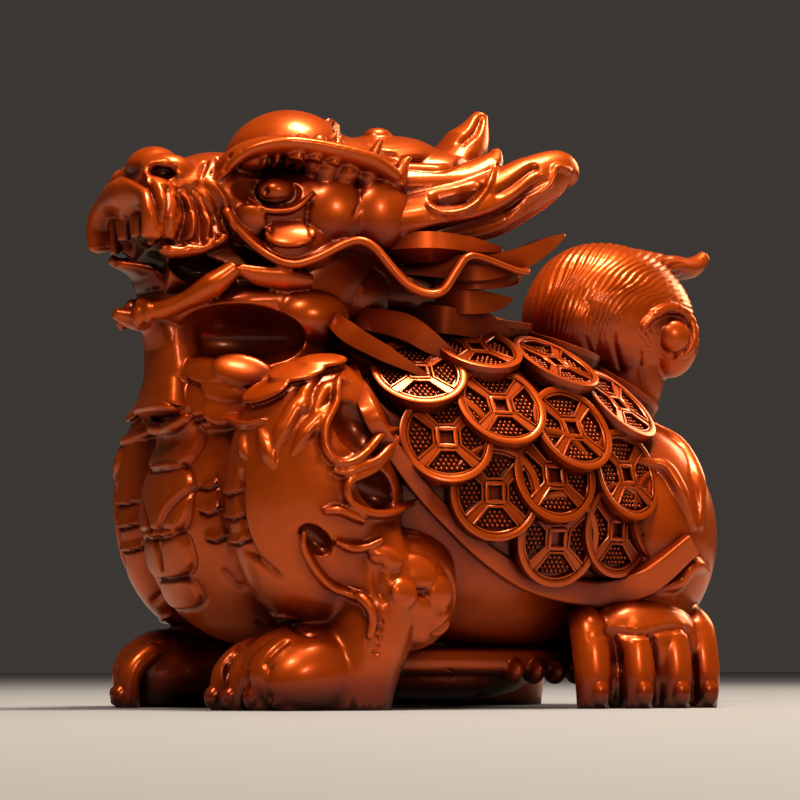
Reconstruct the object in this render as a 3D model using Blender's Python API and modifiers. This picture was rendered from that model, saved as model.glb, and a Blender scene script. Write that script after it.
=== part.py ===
"""Dragon turtle figurine, carved from one block of wood.

Metres, +Z up, the head looks along -Y and the animal's left side is +X. All shares are given in
units of one hundred and eighty-first of the height, which is one millimetre at the size as modelled.
"""
import math

import bmesh
import bpy
import numpy as np
from mathutils import Euler, Matrix, Vector

NODE = "dragon_turtle"
HEIGHT = 0.181                      # soles to the tip of the crest
UNIT = HEIGHT / 181                 # one share of the height
GRAIN = 0.95                        # voxel of the fused solid, in shares
TRIANGLES = 5500                    # faces kept in the block before the coins are set on
SOLE_DEPTH = 0.6                    # material taken off below the soles, in shares
SHARP = 40                          # degrees, faces that meet more steeply show an edge
MERGE = 0.000005                    # metres, corners closer than this are one

DOME_AT = (0, 14, 64)               # centre of the shell's dome
DOME_RADII = (56, 80, 52)
DOME_TILT = -8                      # degrees, the dome rises towards the neck

COIN_RADIUS = 14
COIN_THICK = 3.4
COIN_SIDES = 20
COIN_LIFT = 1.0                     # centre of a coin's thickness above the dome
COIN_LAP = 5                        # degrees, each coin's lower edge stands out over the next
# centres of the coins seen from the side, along the back and up
COINS = [
    (15, 114.5), (39.6, 109.7), (62.4, 99.2),
    (-18, 95.3), (3.3, 103.5), (30.1, 100.2), (49.7, 88.9),
    (-14.9, 76.9), (3.1, 86.2), (25.7, 80.5), (44.8, 68.3),
    (-1.6, 62.2), (17.4, 67.3), (19.5, 50.1), (41.1, 52.9), (58.2, 57),
]

CHEST_AT = (0, -50, 57)
CHEST_RADII = (38, 31, 38)
PLATE_THICK = 2.6
# plates down the middle of the chest: height above the soles, half width and half height
CHEST_PLATES = [(72, 12, 8.5), (56, 11, 8), (41.5, 9.5, 6.5)]

shapes = []


def clear_scene():
    """Take every object out of the file"""
    for obj in list(bpy.data.objects):
        bpy.data.objects.remove(obj)


def smooth_path(points, steps=120):
    """A curve through the points, even in the parameter"""
    points = np.array(points, float)
    if len(points) == 2:
        ratio = np.linspace(0, 1, steps)[:, None]
        return points[0] * (1 - ratio) + points[1] * ratio
    first = 2 * points[0] - points[1]
    last = 2 * points[-1] - points[-2]
    knots = np.vstack([first, points, last])
    spans = len(points) - 1
    line = []
    for value in np.linspace(0, spans, steps):
        k = min(int(value), spans - 1)
        t = value - k
        a, b, c, d = knots[k:k + 4]
        line.append(0.5 * (2 * b + (c - a) * t + (2 * a - 5 * b + 4 * c - d) * t ** 2
                           + (3 * b - a - 3 * c + d) * t ** 3))
    return np.array(line)


def mirror_copy(obj):
    """The same shape on the animal's other side"""
    twin = obj.copy()
    twin.data = obj.data.copy()
    bpy.context.collection.objects.link(twin)
    mesh = bmesh.new()
    mesh.from_mesh(twin.data)
    for vertex in mesh.verts:
        vertex.co.x = -vertex.co.x
    bmesh.ops.reverse_faces(mesh, faces=mesh.faces)
    mesh.to_mesh(twin.data)
    mesh.free()
    shapes.append(twin)


def blob(at, radii, turn=(0, 0, 0), both=False):
    """An egg of wood; radii along its own axes, turn in degrees"""
    bpy.ops.mesh.primitive_uv_sphere_add(segments=32, ring_count=20, radius=1)
    obj = bpy.context.object
    spin = Euler([math.radians(angle) for angle in turn]).to_matrix().to_4x4()
    scale = Matrix.Diagonal((*[radius * UNIT for radius in radii], 1))
    obj.data.transform(Matrix.Translation(Vector(at) * UNIT) @ spin @ scale)
    shapes.append(obj)
    if both:
        mirror_copy(obj)
    return obj


def lock(path, wide, deep, across=(1, 0, 0), both=False, edge=1.0, segments=20, rings=28):
    """A tapering strand along a path; wide is measured along across, edge 2 gives a ridge"""
    bpy.ops.mesh.primitive_uv_sphere_add(segments=segments, ring_count=rings, radius=1)
    obj = bpy.context.object
    steps = 120
    line = smooth_path(path, steps)
    share = np.linspace(0, 1, steps)
    widths = np.interp(share, np.linspace(0, 1, len(wide)), wide)
    depths = np.interp(share, np.linspace(0, 1, len(deep)), deep)
    along = np.gradient(line, axis=0)
    along /= np.linalg.norm(along, axis=1)[:, None]
    side = np.tile(np.array(across, float), (steps, 1))
    side -= (side * along).sum(1)[:, None] * along
    side /= np.linalg.norm(side, axis=1)[:, None]
    up = np.cross(side, along)
    for vertex in obj.data.vertices:
        place = math.acos(max(-1.0, min(1.0, vertex.co.z))) / math.pi * (steps - 1)
        k = min(int(place), steps - 2)
        rest = place - k
        centre = line[k] * (1 - rest) + line[k + 1] * rest
        radius = math.hypot(vertex.co.x, vertex.co.y)
        if radius > 1e-4:
            cosine = vertex.co.x / radius
            sine = vertex.co.y / radius
            reach = widths[k] * (1 - rest) + widths[k + 1] * rest
            reach *= math.copysign(abs(cosine) ** edge, cosine)
            lift = depths[k] * (1 - rest) + depths[k + 1] * rest
            lift *= math.copysign(abs(sine) ** edge, sine)
            centre = centre + side[k] * reach + up[k] * lift
        vertex.co = Vector(centre) * UNIT
    shapes.append(obj)
    if both:
        mirror_copy(obj)
    return obj


def ribbon(rim, root, thick, sag):
    """A thin wall between a free rim and a root line, on both sides of the head"""
    bpy.ops.mesh.primitive_grid_add(x_subdivisions=48, y_subdivisions=8, size=2)
    obj = bpy.context.object
    outer = smooth_path(rim, 97)
    inner = smooth_path(root, 97)
    normal = np.cross(np.gradient((outer + inner) / 2, axis=0), outer - inner)
    normal /= np.linalg.norm(normal, axis=1)[:, None]
    for vertex in obj.data.vertices:
        k = int(round((vertex.co.x + 1) / 2 * 96))
        t = (vertex.co.y + 1) / 2
        spot = inner[k] * (1 - t) + outer[k] * t + normal[k] * sag * math.sin(math.pi * t)
        vertex.co = Vector(spot) * UNIT
    solid = obj.modifiers.new("Solidify", "SOLIDIFY")
    solid.thickness = thick * UNIT
    solid.offset = 0
    bpy.ops.object.modifier_apply(modifier="Solidify")
    shapes.append(obj)
    mirror_copy(obj)


def on_dome(y, z, lift=0.0):
    """Point and outward direction of the shell's dome at a place given along the back and up"""
    spin = Euler((math.radians(DOME_TILT), 0, 0)).to_matrix()
    local = spin.transposed() @ Vector((0, y - DOME_AT[1], z - DOME_AT[2]))
    left = 1 - (local.y / DOME_RADII[1]) ** 2 - (local.z / DOME_RADII[2]) ** 2
    local.x = DOME_RADII[0] * math.sqrt(max(left, 0.0))
    normal = spin @ Vector([local[i] / DOME_RADII[i] ** 2 for i in range(3)])
    normal.normalize()
    point = spin @ local + Vector(DOME_AT)
    return point + normal * lift, normal


def coin(y, z):
    """One coin lying on the shell like a scale: a raised ring around a thinner field"""
    centre, normal = on_dome(y, z, COIN_LIFT)
    down = Vector((0, 0, -1)) - normal * (Vector((0, 0, -1)) @ normal)
    down.normalize()
    side = down.cross(normal)
    tilt = Matrix.Rotation(math.radians(COIN_LAP), 3, side)
    normal = tilt @ normal
    down = tilt @ down
    turn = Matrix((side, down, normal)).transposed().to_4x4()
    bpy.ops.mesh.primitive_cylinder_add(vertices=COIN_SIDES, radius=COIN_RADIUS * UNIT,
                                        depth=COIN_THICK * UNIT)
    disc = bpy.context.object
    disc.data.transform(Matrix.Translation(centre * UNIT) @ turn)
    shapes.append(disc)
    mirror_copy(disc)


def trunk():
    """Body, chest, shoulders and haunches"""
    blob((0, 9, 52), (51, 78, 37))
    blob(DOME_AT, DOME_RADII, turn=(DOME_TILT, 0, 0))
    blob(CHEST_AT, CHEST_RADII)
    blob((37, -49.5, 62), (22, 26, 39), both=True)
    blob((28.5, 62.5, 52), (26, 28, 34), both=True)
    blob((0, 72, 60), (25, 25, 34))
    blob((46, -21.6, 33.9), (11, 15, 17), both=True)
    lock([(0, -32, 60), (0, -49, 86), (0, -45, 112), (0, -26, 138)], [34, 30, 25, 26], [30, 29, 26, 24])


def front_legs():
    """Forearm, paw and four clawed toes set on an arc that turns outwards"""
    lock([(42, -40, 48), (47, -36, 30), (46, -41, 10), (46, -42, -6)], [16, 13, 12, 10],
         [14, 13, 12, 10], both=True)
    blob((43, -52, 11), (13, 21, 13), turn=(12, 0, 18), both=True)
    for x, y in ((30.5, -74), (36.5, -72), (43, -68.5), (49.5, -63.5)):
        lock([(x, y + 12, 16), (x, y + 3, 12), (x, y - 1, 5), (x, y - 1, -3)], [3, 3.5, 3.6, 3],
             [3, 4, 4, 3], both=True, segments=12, rings=12)


def hind_legs():
    """Short legs, each paw a fist with four toes"""
    lock([(38, 60, 42), (40, 58, 22), (42, 57, 8), (43, 57, -6)], [14, 13, 12, 10], [19, 18, 18, 16],
         both=True)
    for x, y in ((54, 34.5), (56.5, 48), (56, 61.5), (53, 73.5)):
        lock([(x - 11, y + 2, 27), (x - 3, y, 21), (x + 0.5, y - 1, 9), (x, y - 1, -4)], [4, 5, 5, 3.5],
             [4, 4.5, 4.5, 3], across=(0, 1, 0), both=True, segments=12, rings=12)


def underside():
    """Belly plate with a toothed edge and the round boss under it"""
    lock([(0, -34, 14.5), (0, 52, 14.5)], [33, 33], [4.5, 4.5], edge=0.35)
    for k in range(4):
        blob((31, 20 + k * 7.5, 11.5), (5, 2.6, 4), both=True)
    blob((0, 2, 9.4), (28, 40, 8))


def skull():
    """Forehead, bridge, muzzle with its hood of an upper lip, eyes and cheeks"""
    blob((0, -38, 158), (19, 21, 19.5))
    blob((0, -24, 146), (27, 29, 25))
    blob((0, -62, 148), (18, 20, 15))
    blob((0, -74, 146), (17, 19, 14.5))
    lock([(0, -72, 158), (0, -85, 155), (0, -93.5, 145), (0, -94, 131)], [12, 15, 15.5, 12],
         [5, 7, 8, 6])
    lock([(13, -89.9, 145.5), (14, -89.7, 138.2), (13, -86.7, 133.4)], [5, 4, 2], [5, 4, 2], both=True)
    blob((0, -79, 157), (10, 9.5, 7))
    blob((22, -55, 150), (7, 8, 6.5), both=True)
    blob((26, -37.5, 143), (8, 9, 9.5), turn=(10, 0, 0), both=True)
    blob((29, -26, 142), (9, 9, 10), turn=(10, 0, 0), both=True)
    blob((22, -46, 135), (6, 9, 6), both=True)
    lock([(14, -70.3, 151.4), (20, -63.1, 159.9), (24, -52.2, 162.5), (27, -39, 161.4),
         (29, -26.8, 158.8), (30, -17.3, 154.4)], [2, 4, 5, 5, 5, 3], [1.5, 2.5, 3.2, 3.6, 4, 3],
         across=(1, 0, 0.3), both=True)
    blob((27, -24.7, 162.5), (2.4, 2.4, 5), both=True)


def jaws():
    """Lower jaw hanging open with its lip, tongue, chin tuft and the beard below it"""
    lock([(0, -87.3, 116.8), (0, -73.8, 115.4), (0, -66, 117), (0, -40, 119)], [7, 13, 20, 26],
         [5, 6, 8, 9])
    lock([(2, -88.2, 117.1), (9, -85.2, 114.6), (14, -79.1, 117.3), (19, -73, 121.5),
         (22, -66.2, 127.1), (26, -54.7, 123.9), (27, -43.9, 123.2)], [2.4, 3, 3, 3, 3, 4, 4],
         [2.8, 3.4, 3, 3, 3.6, 4, 4], both=True)
    blob((20, -40, 112.5), (12, 13, 12), both=True)
    lock([(0, -60, 124), (0, -80, 123), (0, -85.1, 128.2), (0, -93.7, 128.6)], [12, 10, 8, 2],
         [6, 5, 3, 1.4])
    lock([(0, -56, 130), (0, -84, 128)], [15, 13], [14, 12])
    blob((0, -80.9, 122.9), (9, 9, 10))
    lock([(0, -80.2, 112.8), (0, -88.2, 112.9), (0, -95.2, 114)], [7, 5, 1.4], [4, 3.4, 1.4])
    lock([(0, -79.6, 114), (0, -76.3, 104.2), (0, -76.2, 95.5), (0, -78.1, 86.1)], [7, 9, 10, 13],
         [6.5, 7, 7, 7])


def mane():
    """Hair: a crest and swept-back locks on both sides, and blades lying over the shell"""
    blob((0, -6, 126), (30, 26, 28))
    lock([(0, -28, 156), (0, -1.7, 166.7), (0, 14.1, 164.2), (0, 24.8, 172.4), (0, 28.7, 181.7)],
         [20, 17, 13, 7, 1.2], [13, 8.5, 6.5, 5, 1], edge=1.15)
    blob((3, -9.4, 173.9), (3, 3.5, 4))
    lock([(16, -25, 152), (22, -2.4, 154.1), (25, 7.9, 156.3), (26, 16, 161.6), (25, 19.4, 167.1)],
         [10, 9, 7.5, 5, 1.2], [9, 7.5, 6, 4, 1], both=True, edge=1.2)
    lock([(22, -18, 141), (29, -6.6, 142.9), (32, 10.5, 147.9), (34, 25, 155.5), (34, 35.6, 160.5),
         (33, 40.9, 157.7)], [9, 9, 8, 7, 5, 2], [9, 8, 7, 6, 4.5, 2.2], both=True, edge=1.2)
    lock([(24, -22, 134), (36, -10.7, 134.5), (38, 1.7, 134.2), (38, 12.7, 135.7)], [8, 7, 5, 1.2],
         [4.5, 4, 2.8, 1], both=True, edge=1.3)
    lock([(24, -14, 130), (38, 1.7, 128.3), (38, 17.2, 132.2), (37, 28.3, 137.4), (36, 35.7, 140.7)],
         [8, 8, 5, 3, 1], [4.5, 5, 4, 2.6, 1], both=True, edge=1.3)
    lock([(20, -10, 122), (34, 0.7, 120.4), (34, 11, 120.4), (34, 16.9, 122.2)], [8, 8, 5, 1.2],
         [5, 5, 3.5, 1], both=True, edge=1.4)
    lock([(18, -14, 112), (32, -5, 113.2), (30, 9.9, 111.2), (27, 21.5, 109.3)], [10, 9, 7, 1.2],
         [6, 5, 4, 1], both=True, edge=1.4)
    lock([(26, -36, 112), (34, -36.2, 106.2), (40, -28.1, 101.5), (45, -16, 94.8)], [4, 6, 5, 1],
         [4, 5, 4.5, 1], across=(1, 0, 0.6), both=True, edge=1.5)
    lock([(20, -26, 113), (34, -18, 108.6), (38, -11.9, 104.7), (41, -2.6, 100)], [6, 7, 5.5, 1],
         [5, 5.5, 4.5, 1], across=(1, 0, 0.6), both=True, edge=1.5)
    lock([(12, -18, 116), (28, 4.3, 112.3), (28, 14.6, 109.8), (26, 29.2, 106.2)], [9, 8, 6, 1],
         [7, 6, 5, 1], across=(1, 0, 0.6), both=True, edge=1.5)


def frill():
    """The waved collar of skin that runs from the muzzle under the cheek to the hair"""
    rim = [(17, -68.9, 144.2), (20, -64.6, 137.2), (24, -58.9, 131), (28, -52.6, 127.8),
           (31, -46.1, 129.4), (34, -37.9, 133.9), (36, -33.7, 134.8), (38, -29.9, 132.5),
           (40, -25.8, 127), (42, -21.3, 121.9), (44, -16.4, 119.7), (45, -11.7, 120.7),
           (45, -7.3, 126.5), (45, -3.9, 130.7), (45, 0.8, 131.3), (44, 14.5, 128.1), (43, 19.2, 128.2)]
    root = [(12, -65.4, 139.2), (14, -59.9, 134.4), (16, -52.7, 129.7), (18, -46.6, 128.1),
            (20, -39.1, 128.9), (20, -30.1, 130.6), (20, -24.7, 129.2), (20, -19.7, 126.5),
            (21, -14.8, 122.5), (22, -9.6, 119.5), (23, -4.1, 118.2), (23, 1.4, 119.4),
            (23, 5.9, 121.7), (24, 8.8, 124.2), (25, 13, 124.9), (28, 19.9, 125.6), (32, 22.7, 126.5)]
    ribbon(rim, root, 2.4, -2.5)


def shell_rim():
    """The raised band that frames the coins, and the folds of skin behind it"""
    front = [(30, -33.3, 98.6), (53.6, -42, 84.6), (52.6, -33, 73.1), (49.3, -21.9, 62.8),
             (50.6, -13.4, 54.4)]
    lower = [(50.6, -13.4, 54.4), (50.4, -1.9, 45.5), (48.6, 12, 38.6), (46.2, 27.2, 35.3),
             (44.5, 42.3, 34.6), (51.4, 53.6, 39), (53.6, 69, 50.1)]
    lock(front, [1.5, 2.8, 2.8, 2.8, 2.8], [3, 4.6, 4.8, 4.8, 4.8], across=(0.4, 0.4, -0.8), both=True,
         edge=0.7)
    lock(lower, [2.6, 2.8, 3, 3.2, 3.6, 4, 3], [4.8, 4.8, 4.8, 4.8, 5, 5, 3], across=(0, 0, 1),
         both=True, edge=0.7)
    folds = [
        [(38.9, 49.2, 90.5), (34, 68.5, 84.3), (37.4, 75.9, 79.3), (48.5, 74.5, 67.7),
         (52.6, 72.6, 53.2)],
        [(49.9, 43.2, 74.8), (48, 56.2, 72.9), (49.7, 62.2, 71.5), (52.4, 65.7, 64.4),
         (53.4, 69.9, 53.1)],
        [(52, 56.7, 35.2), (51.8, 65.1, 37.7), (52.3, 69.8, 42.5), (47.5, 79, 40.9)],
    ]
    for path in folds:
        lock(path, [1, 2.4, 2.6, 2.6, 1.2], [1, 2.4, 2.6, 2.6, 1.2], across=(0, 0, 1), both=True)


def flames():
    """Wisps curling back from the shoulder over the edge of the shell"""
    curls = [
        [(43.5, -67.7, 87.1), (49.4, -60.7, 89.2), (50.2, -51.6, 92.9), (49.4, -46.4, 93.7)],
        [(55.8, -52.8, 81.2), (56.5, -57, 75.5), (58.3, -52.9, 69.4), (57.8, -45.6, 72.4),
         (48.8, -30.8, 78.8), (49.1, -18.1, 78.9)],
        [(49.4, -18.3, 77.7), (47, -28.1, 76.4), (57.8, -42.4, 67.5), (58.8, -50.9, 62.8),
         (58.4, -45.9, 56), (53, -32.2, 56.8), (50, -19.3, 59.4)],
        [(53.9, -61.8, 45.8), (52.7, -52.6, 35.4), (57, -44.1, 31), (58.1, -42.8, 26.8),
         (57.9, -43.7, 20.5)],
        [(45.5, -70.6, 78.4), (50.1, -64.2, 84), (52.8, -56.2, 86.9), (53.1, -48.4, 88.3)],
    ]
    for path in curls:
        lock(path, [1.5, 2.6, 2.8, 2.8, 1.2], [1.5, 2.6, 2.8, 2.8, 1.2], across=(0, 0, 1), both=True)


def tail():
    """The tail curls up over the rump into a combed ball with a free tip"""
    lock([(0, 66, 76), (0, 79.5, 98), (0, 80, 118)], [16, 13, 16], [16, 12, 16])
    blob((0, 76.6, 121.5), (19, 29, 23), turn=(-12, 0, 0))
    blob((0, 60.3, 119.4), (15, 14, 19))
    blob((10, 90.9, 114.4), (9, 10, 12), both=True)
    lock([(0, 83.5, 137), (0, 96.9, 138.4), (0, 106.5, 139), (0, 112.7, 143.2)], [10, 7, 4.5, 2],
         [7, 4, 3.4, 2])


def join_shapes():
    """All shapes as one object"""
    for obj in bpy.data.objects:
        obj.select_set(False)
    for obj in shapes:
        obj.select_set(True)
    bpy.context.view_layer.objects.active = shapes[0]
    bpy.ops.object.join()
    shapes.clear()
    return bpy.context.object


def apply(obj, kind, **values):
    """Put a modifier on an object with its values and apply it"""
    modifier = obj.modifiers.new(kind.title(), kind)
    for name, value in values.items():
        setattr(modifier, name, value)
    bpy.context.view_layer.objects.active = obj
    bpy.ops.object.modifier_apply(modifier=modifier.name)


def keep_largest(obj):
    """Drop closed pockets and loose crumbs that fusing left behind"""
    mesh = bmesh.new()
    mesh.from_mesh(obj.data)
    waiting = set(mesh.verts)
    islands = []
    while waiting:
        front = [waiting.pop()]
        island = list(front)
        while front:
            vertex = front.pop()
            for edge in vertex.link_edges:
                other = edge.other_vert(vertex)
                if other in waiting:
                    waiting.remove(other)
                    front.append(other)
                    island.append(other)
        islands.append(island)
    islands.sort(key=len)
    for island in islands[:-1]:
        bmesh.ops.delete(mesh, geom=island, context="VERTS")
    mesh.to_mesh(obj.data)
    mesh.free()


def flatten_soles(obj):
    """Cut the block level so that the paws stand on flat soles"""
    mesh = bmesh.new()
    mesh.from_mesh(obj.data)
    level = SOLE_DEPTH * UNIT
    geometry = mesh.verts[:] + mesh.edges[:] + mesh.faces[:]
    cut = bmesh.ops.bisect_plane(mesh, geom=geometry, dist=1e-7, plane_co=(0, 0, level),
                                 plane_no=(0, 0, 1), clear_inner=True)
    edges = [item for item in cut["geom_cut"] if isinstance(item, bmesh.types.BMEdge)]
    bmesh.ops.holes_fill(mesh, edges=edges)
    bmesh.ops.triangulate(mesh, faces=mesh.faces)
    bmesh.ops.recalc_face_normals(mesh, faces=mesh.faces)
    low = min(vertex.co.z for vertex in mesh.verts)
    for vertex in mesh.verts:
        vertex.co.z -= low
    mesh.to_mesh(obj.data)
    mesh.free()


def chest_plate(z, wide, tall):
    """A horny plate on the middle of the chest, six-sided like a scute"""
    y = CHEST_AT[1] - CHEST_RADII[1] * math.sqrt(1 - ((z - CHEST_AT[2]) / CHEST_RADII[2]) ** 2)
    slope = math.atan2((z - CHEST_AT[2]) / CHEST_RADII[2] ** 2, (CHEST_AT[1] - y) / CHEST_RADII[1] ** 2)
    bpy.ops.mesh.primitive_cylinder_add(vertices=12, radius=1, depth=1)
    plate = bpy.context.object
    spin = Euler((math.radians(90) - slope, 0, 0)).to_matrix().to_4x4()
    scale = Matrix.Diagonal((wide * UNIT, tall * UNIT, PLATE_THICK * UNIT, 1))
    plate.data.transform(Matrix.Translation(Vector((0, y, z)) * UNIT) @ spin @ scale)
    shapes.append(plate)


def add_coins(obj):
    """Join the coins and chest plates to the block one after another, so that their edges stay crisp"""
    for y, z in COINS:
        coin(y, z)
    for z, wide, tall in CHEST_PLATES:
        chest_plate(z, wide, tall)
    discs = list(shapes)
    shapes.clear()
    for disc in discs:
        disc.data.transform(Matrix.Translation((0, 0, -SOLE_DEPTH * UNIT)))
        apply(obj, "BOOLEAN", operation="UNION", solver="EXACT", object=disc)
        bpy.data.objects.remove(disc)
    mesh = bmesh.new()
    mesh.from_mesh(obj.data)
    bmesh.ops.remove_doubles(mesh, verts=mesh.verts, dist=MERGE)
    bmesh.ops.dissolve_degenerate(mesh, edges=mesh.edges, dist=MERGE)
    bmesh.ops.triangulate(mesh, faces=mesh.faces)
    mesh.to_mesh(obj.data)
    mesh.free()


def centre_on_origin(obj):
    """Origin on the ground under the middle of the figure"""
    spots = np.array([vertex.co[:] for vertex in obj.data.vertices])
    middle = (spots.min(axis=0) + spots.max(axis=0)) / 2
    obj.data.transform(Matrix.Translation((-middle[0], -middle[1], 0)))
    return middle


def wood():
    """Lacquered reddish brown wood"""
    material = bpy.data.materials.new("lacquered_wood")
    material.use_nodes = True
    shader = material.node_tree.nodes["Principled BSDF"]
    shader.inputs["Base Color"].default_value = (0.42, 0.10, 0.012, 1)
    shader.inputs["Roughness"].default_value = 0.35
    return material


def build():
    """The whole figure as one solid"""
    clear_scene()
    trunk()
    front_legs()
    hind_legs()
    underside()
    skull()
    jaws()
    mane()
    frill()
    shell_rim()
    flames()
    tail()
    figure = join_shapes()
    apply(figure, "REMESH", mode="VOXEL", voxel_size=GRAIN * UNIT)
    apply(figure, "SMOOTH", factor=0.5, iterations=1)
    keep_largest(figure)
    full = len(figure.data.polygons) * 2
    apply(figure, "DECIMATE", ratio=TRIANGLES / full, use_collapse_triangulate=True)
    flatten_soles(figure)
    add_coins(figure)
    keep_largest(figure)
    middle = centre_on_origin(figure)
    figure.name = NODE
    figure.data.name = NODE
    figure.data.shade_smooth()
    figure.data.set_sharp_from_angle(angle=math.radians(SHARP))
    figure.data.materials.clear()
    figure.data.materials.append(wood())
    group = bpy.data.collections.new("dragon_turtle_figurine")
    bpy.context.scene.collection.children.link(group)
    for home in list(figure.users_collection):
        home.objects.unlink(figure)
    group.objects.link(figure)
    print("triangles", len(figure.data.polygons), "moved by", [round(value, 5) for value in middle])
    print("size", [round(value, 4) for value in figure.dimensions])


build()
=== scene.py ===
import math
import bpy
import numpy as np
from mathutils import Euler, Matrix, Vector
from mathutils.bvhtree import BVHTree


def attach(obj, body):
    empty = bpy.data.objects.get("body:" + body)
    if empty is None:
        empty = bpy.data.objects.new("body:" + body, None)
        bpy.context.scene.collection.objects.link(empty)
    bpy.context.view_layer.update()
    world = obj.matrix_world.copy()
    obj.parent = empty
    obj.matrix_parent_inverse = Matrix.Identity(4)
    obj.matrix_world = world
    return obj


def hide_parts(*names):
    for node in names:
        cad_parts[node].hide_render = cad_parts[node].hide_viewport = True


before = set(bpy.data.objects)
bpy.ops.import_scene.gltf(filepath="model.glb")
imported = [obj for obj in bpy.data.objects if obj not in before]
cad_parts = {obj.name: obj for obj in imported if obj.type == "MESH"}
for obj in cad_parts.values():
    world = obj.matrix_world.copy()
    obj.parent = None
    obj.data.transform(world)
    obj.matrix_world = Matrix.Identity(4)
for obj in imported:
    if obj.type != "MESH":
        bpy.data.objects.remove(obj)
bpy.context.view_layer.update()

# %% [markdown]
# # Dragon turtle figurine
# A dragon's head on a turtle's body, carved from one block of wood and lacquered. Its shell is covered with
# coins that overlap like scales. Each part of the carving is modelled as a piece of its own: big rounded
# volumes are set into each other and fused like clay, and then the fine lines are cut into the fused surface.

MM = 0.001
# the block was cut level 0.6 below the carving's zero and moved onto its own middle
SHIFT = np.array([0.1, -5.6, -0.6])
shapes = []

# %% [markdown]
# The camera stands at the height of the table, three quarters to the front, with a long lens. It is set
# first, because the carver's guide lines are drawn as seen from here and dropped onto the wood.

# %% Camera
AZIMUTH = math.radians(60)
DISTANCE = 1.0
CAMERA_HEIGHT = 0.014
PICTURE = 800
FOCAL_PIXELS = 3333
CAMERA_TILT = math.radians(94.5)
lens = bpy.data.cameras.new("camera")
lens.lens = FOCAL_PIXELS / PICTURE * 36
lens.sensor_width = 36
lens.dof.use_dof = False
camera = bpy.data.objects.new("camera", lens)
bpy.context.scene.collection.objects.link(camera)
stand = Vector((DISTANCE * math.sin(AZIMUTH), -DISTANCE * math.cos(AZIMUTH), CAMERA_HEIGHT))
camera.location = stand + Vector(SHIFT * MM)
camera.rotation_euler = (CAMERA_TILT, 0, AZIMUTH)
bpy.context.scene.camera = camera
bpy.context.view_layer.update()
print("camera at", [round(value, 3) for value in camera.location])


def view_line(u, v):
    """Direction of the line of sight through a pixel of the photo's frame"""
    across, up = (u - PICTURE / 2) / FOCAL_PIXELS, (PICTURE / 2 - v) / FOCAL_PIXELS
    return camera.matrix_world.to_3x3() @ Vector((across, up, -1))

# %% [markdown]
# Helpers for shaping: a smooth path, an egg, a tapering strand, a waved wall, and fusing them into one skin.

# %% Shaping tools
def smooth_path(points, steps=120):
    """A curve through the points"""
    points = np.array(points, float)
    if len(points) == 2:
        ratio = np.linspace(0, 1, steps)[:, None]
        return points[0] * (1 - ratio) + points[1] * ratio
    knots = np.vstack([2 * points[0] - points[1], points, 2 * points[-1] - points[-2]])
    spans = len(points) - 1
    value = np.linspace(0, spans, steps)
    k = np.minimum(value.astype(int), spans - 1)
    t = (value - k)[:, None]
    a, b, c, d = knots[k], knots[k + 1], knots[k + 2], knots[k + 3]
    bend = (2 * a - 5 * b + 4 * c - d) * t ** 2 + (3 * b - a - 3 * c + d) * t ** 3
    return 0.5 * (2 * b + (c - a) * t + bend)


def get_points(mesh, what="co"):
    """Corners or normals of a mesh as rows, corners in millimetres"""
    values = np.empty(len(mesh.vertices) * 3, np.float32)
    mesh.vertices.foreach_get(what, values)
    values = values.reshape(-1, 3).astype(float)
    return values / MM if what == "co" else values


def set_points(mesh, points):
    """Write corners given in millimetres back to a mesh"""
    mesh.vertices.foreach_set("co", (points * MM).astype(np.float32).ravel())
    mesh.update()


def mirror_copy(obj):
    """The same shape on the other side of the animal"""
    twin = obj.copy()
    twin.data = obj.data.copy()
    bpy.context.collection.objects.link(twin)
    points = get_points(twin.data)
    points[:, 0] *= -1
    set_points(twin.data, points)
    twin.data.flip_normals()
    shapes.append(twin)
    return twin


def blob(at, radii, turn=(0, 0, 0), both=False, segments=40, rings=24, axes=None):
    """An egg of wood; radii along its own axes, turn in degrees or as three axes"""
    bpy.ops.mesh.primitive_uv_sphere_add(segments=segments, ring_count=rings, radius=1)
    obj = bpy.context.object
    spin = Euler([math.radians(angle) for angle in turn]).to_matrix().to_4x4()
    if axes is not None:
        spin = Matrix(np.array(axes).T.tolist()).to_4x4()
    scale = Matrix.Diagonal((*[radius * MM for radius in radii], 1))
    obj.data.transform(Matrix.Translation(Vector(at) * MM) @ spin @ scale)
    shapes.append(obj)
    if both:
        mirror_copy(obj)
    return obj


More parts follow.
